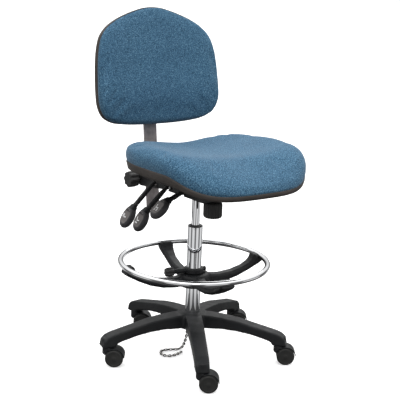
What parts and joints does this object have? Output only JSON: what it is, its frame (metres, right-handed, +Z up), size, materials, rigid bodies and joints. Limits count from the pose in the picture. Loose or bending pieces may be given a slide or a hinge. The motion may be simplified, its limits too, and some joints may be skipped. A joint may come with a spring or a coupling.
{
  "type": "drafting chair",
  "caption": "Tall swivel work chair with a star base on casters, gas lift, foot ring, lever-operated seat mechanism, contoured seat and a backrest on a flat upright.",
  "frame": {"origin": "on the floor, under the middle of the chair's footprint", "axes": "+Z up; the sitter faces -Y; the levers and the clamp knob are on the sitter's right, at -X"},
  "size_m": [0.652, 0.67, 1.1483],
  "materials": {
    "nylon": "satin",
    "wheel_tread": "satin",
    "knob_plastic": "satin",
    "lever_rubber": "matte",
    "paddle_plastic": "satin",
    "chrome": "polished",
    "steel": "satin",
    "chain_steel": "satin",
    "black_steel": "satin",
    "upright_paint": "satin",
    "edge_moulding": "matte",
    "upholstery": "matte"
  },
  "bodies": {
    "base": {"base_star": "nylon", "column_tube": "chrome", "column_bush": "nylon", "thrust_bearing": "steel", "chain_hook": "steel", "drag_chain": "chain_steel"},
    "caster_1": {"caster_stem_1": "steel", "caster_hood_1": "nylon", "caster_axle_1": "steel"},
    "wheel_left_1": {"wheel_left_1": "wheel_tread"},
    "wheel_right_1": {"wheel_right_1": "wheel_tread"},
    "caster_2": {"caster_stem_2": "steel", "caster_hood_2": "nylon", "caster_axle_2": "steel"},
    "wheel_left_2": {"wheel_left_2": "wheel_tread"},
    "wheel_right_2": {"wheel_right_2": "wheel_tread"},
    "caster_3": {"caster_stem_3": "steel", "caster_hood_3": "nylon", "caster_axle_3": "steel"},
    "wheel_left_3": {"wheel_left_3": "wheel_tread"},
    "wheel_right_3": {"wheel_right_3": "wheel_tread"},
    "caster_4": {"caster_stem_4": "steel", "caster_hood_4": "nylon", "caster_axle_4": "steel"},
    "wheel_left_4": {"wheel_left_4": "wheel_tread"},
    "wheel_right_4": {"wheel_right_4": "wheel_tread"},
    "caster_5": {"caster_stem_5": "steel", "caster_hood_5": "nylon", "caster_axle_5": "steel"},
    "wheel_left_5": {"wheel_left_5": "wheel_tread"},
    "wheel_right_5": {"wheel_right_5": "wheel_tread"},
    "ring_slider": {"ring_collar": "nylon"},
    "ring_knob": {"ring_knob": "knob_plastic"},
    "foot_ring": {"ring_hub": "nylon", "foot_ring": "chrome"},
    "piston": {"piston_rod": "steel", "retaining_clip": "steel"},
    "lift": {"gas_cylinder": "chrome", "mech_housing": "black_steel", "tilt_pin": "steel", "carrier_pin": "steel", "tension_spring": "steel"},
    "release_button": {"release_button": "steel"},
    "height_lever": {"height_lever_rod": "lever_rubber", "height_lever_paddle": "paddle_plastic"},
    "tilt_lever": {"tilt_lever_rod": "lever_rubber", "tilt_lever_paddle": "paddle_plastic"},
    "back_lever": {"back_lever_rod": "lever_rubber", "back_lever_paddle": "paddle_plastic"},
    "tension": {"tension_bolt": "steel", "tension_knob": "knob_plastic"},
    "seat": {"seat_plate": "black_steel", "seat_shell": "edge_moulding", "seat_cushion": "upholstery"},
    "back_carrier": {"back_carrier": "black_steel"},
    "clamp_knob": {"clamp_knob": "knob_plastic"},
    "back": {"back_upright": "upright_paint", "back_bracket": "black_steel", "back_shell": "edge_moulding", "back_cushion": "upholstery"}
  },
  "joints": [
    {"name": "caster_1_swivel", "type": "hinge", "parent": "base", "child": "caster_1", "pos_m": [-0.15054, -0.25079, 0.06], "axis": [0, 0, 1], "continuous": true},
    {"name": "wheel_left_1_roll", "type": "hinge", "parent": "caster_1", "child": "wheel_left_1", "pos_m": [-0.13274, -0.26372, 0.03], "axis": [0.5878, 0.809, 0], "continuous": true},
    {"name": "wheel_right_1_roll", "type": "hinge", "parent": "caster_1", "child": "wheel_right_1", "pos_m": [-0.13274, -0.26372, 0.03], "axis": [0.5878, 0.809, 0], "continuous": true},
    {"name": "caster_2_swivel", "type": "hinge", "parent": "base", "child": "caster_2", "pos_m": [0.1995, -0.20781, 0.06], "axis": [0, 0, 1], "continuous": true},
    {"name": "wheel_left_2_roll", "type": "hinge", "parent": "caster_2", "child": "wheel_left_2", "pos_m": [0.2173, -0.22074, 0.03], "axis": [0.5878, 0.809, 0], "continuous": true},
    {"name": "wheel_right_2_roll", "type": "hinge", "parent": "caster_2", "child": "wheel_right_2", "pos_m": [0.2173, -0.22074, 0.03], "axis": [0.5878, 0.809, 0], "continuous": true},
    {"name": "caster_3_swivel", "type": "hinge", "parent": "base", "child": "caster_3", "pos_m": [0.26679, 0.13839, 0.06], "axis": [0, 0, 1], "continuous": true},
    {"name": "wheel_left_3_roll", "type": "hinge", "parent": "caster_3", "child": "wheel_left_3", "pos_m": [0.28459, 0.12545, 0.03], "axis": [0.5878, 0.809, 0], "continuous": true},
    {"name": "wheel_right_3_roll", "type": "hinge", "parent": "caster_3", "child": "wheel_right_3", "pos_m": [0.28459, 0.12545, 0.03], "axis": [0.5878, 0.809, 0], "continuous": true},
    {"name": "caster_4_swivel", "type": "hinge", "parent": "base", "child": "caster_4", "pos_m": [-0.04166, 0.30936, 0.06], "axis": [0, 0, 1], "continuous": true},
    {"name": "wheel_left_4_roll", "type": "hinge", "parent": "caster_4", "child": "wheel_left_4", "pos_m": [-0.02386, 0.29643, 0.03], "axis": [0.5878, 0.809, 0], "continuous": true},
    {"name": "wheel_right_4_roll", "type": "hinge", "parent": "caster_4", "child": "wheel_right_4", "pos_m": [-0.02386, 0.29643, 0.03], "axis": [0.5878, 0.809, 0], "continuous": true},
    {"name": "caster_5_swivel", "type": "hinge", "parent": "base", "child": "caster_5", "pos_m": [-0.29959, 0.06884, 0.06], "axis": [0, 0, 1], "continuous": true},
    {"name": "wheel_left_5_roll", "type": "hinge", "parent": "caster_5", "child": "wheel_left_5", "pos_m": [-0.28179, 0.05591, 0.03], "axis": [0.5878, 0.809, 0], "continuous": true},
    {"name": "wheel_right_5_roll", "type": "hinge", "parent": "caster_5", "child": "wheel_right_5", "pos_m": [-0.28179, 0.05591, 0.03], "axis": [0.5878, 0.809, 0], "continuous": true},
    {"name": "ring_height", "type": "slide", "parent": "base", "child": "ring_slider", "axis": [0, 0, 1], "range_m": [-0.09, 0.06]},
    {"name": "ring_knob_turn", "type": "hinge", "parent": "ring_slider", "child": "ring_knob", "pos_m": [-0.0051, 0.0116, 0.299], "axis": [-0.9848, 0.1736, 0], "range_deg": [-360, 360]},
    {"name": "ring_swivel", "type": "hinge", "parent": "ring_slider", "child": "foot_ring", "pos_m": [-0.0051, 0.0116, 0.328], "axis": [0, 0, 1], "continuous": true},
    {"name": "seat_swivel", "type": "hinge", "parent": "base", "child": "piston", "pos_m": [-0.0051, 0.0116, 0.3], "axis": [0, 0, 1], "continuous": true},
    {"name": "seat_height", "type": "slide", "parent": "piston", "child": "lift", "axis": [0, 0, 1], "range_m": [-0.07, 0.15]},
    {"name": "button_press", "type": "slide", "parent": "lift", "child": "release_button", "axis": [0, 0, 1], "range_m": [-0.003, 0]},
    {"name": "height_lever_pull", "type": "hinge", "parent": "lift", "child": "height_lever", "pos_m": [-0.0621, 0.0116, 0.57], "axis": [0, 1, 0], "range_deg": [0, 10], "stiffness_Nm_per_rad": 1.5, "springref_deg": -8.59},
    {"name": "tilt_lever_pull", "type": "hinge", "parent": "lift", "child": "tilt_lever", "pos_m": [-0.0621, 0.0996, 0.571], "axis": [0, 1, 0], "range_deg": [0, 10], "stiffness_Nm_per_rad": 1.5, "springref_deg": -8.59},
    {"name": "back_lever_pull", "type": "hinge", "parent": "back_carrier", "child": "back_lever", "pos_m": [-0.0621, 0.1746, 0.575], "axis": [0, 1, 0], "range_deg": [0, 10], "stiffness_Nm_per_rad": 1.5, "springref_deg": -8.59},
    {"name": "tension_turn", "type": "hinge", "parent": "lift", "child": "tension", "pos_m": [-0.0051, -0.0804, 0.52], "axis": [0, 0, 1], "range_deg": [-360, 360]},
    {"name": "seat_tilt", "type": "hinge", "parent": "lift", "child": "seat", "pos_m": [-0.0051, -0.0504, 0.579], "axis": [1, 0, 0], "range_deg": [-4, 4]},
    {"name": "back_recline", "type": "hinge", "parent": "lift", "child": "back_carrier", "pos_m": [-0.0051, 0.0736, 0.572], "axis": [1, 0, 0], "range_deg": [-10, 4]},
    {"name": "clamp_turn", "type": "hinge", "parent": "back_carrier", "child": "clamp_knob", "pos_m": [-0.0801, 0.2816, 0.564], "axis": [1, 0, 0], "range_deg": [-360, 360]},
    {"name": "back_height", "type": "slide", "parent": "back_carrier", "child": "back", "axis": [0, 0.1149, 0.9934], "range_m": [-0.04, 0.05]}
  ],
  "couplings": [
    {"joint": "button_press", "follows": "height_lever_pull", "m_per_rad": -0.0171}
  ]
}
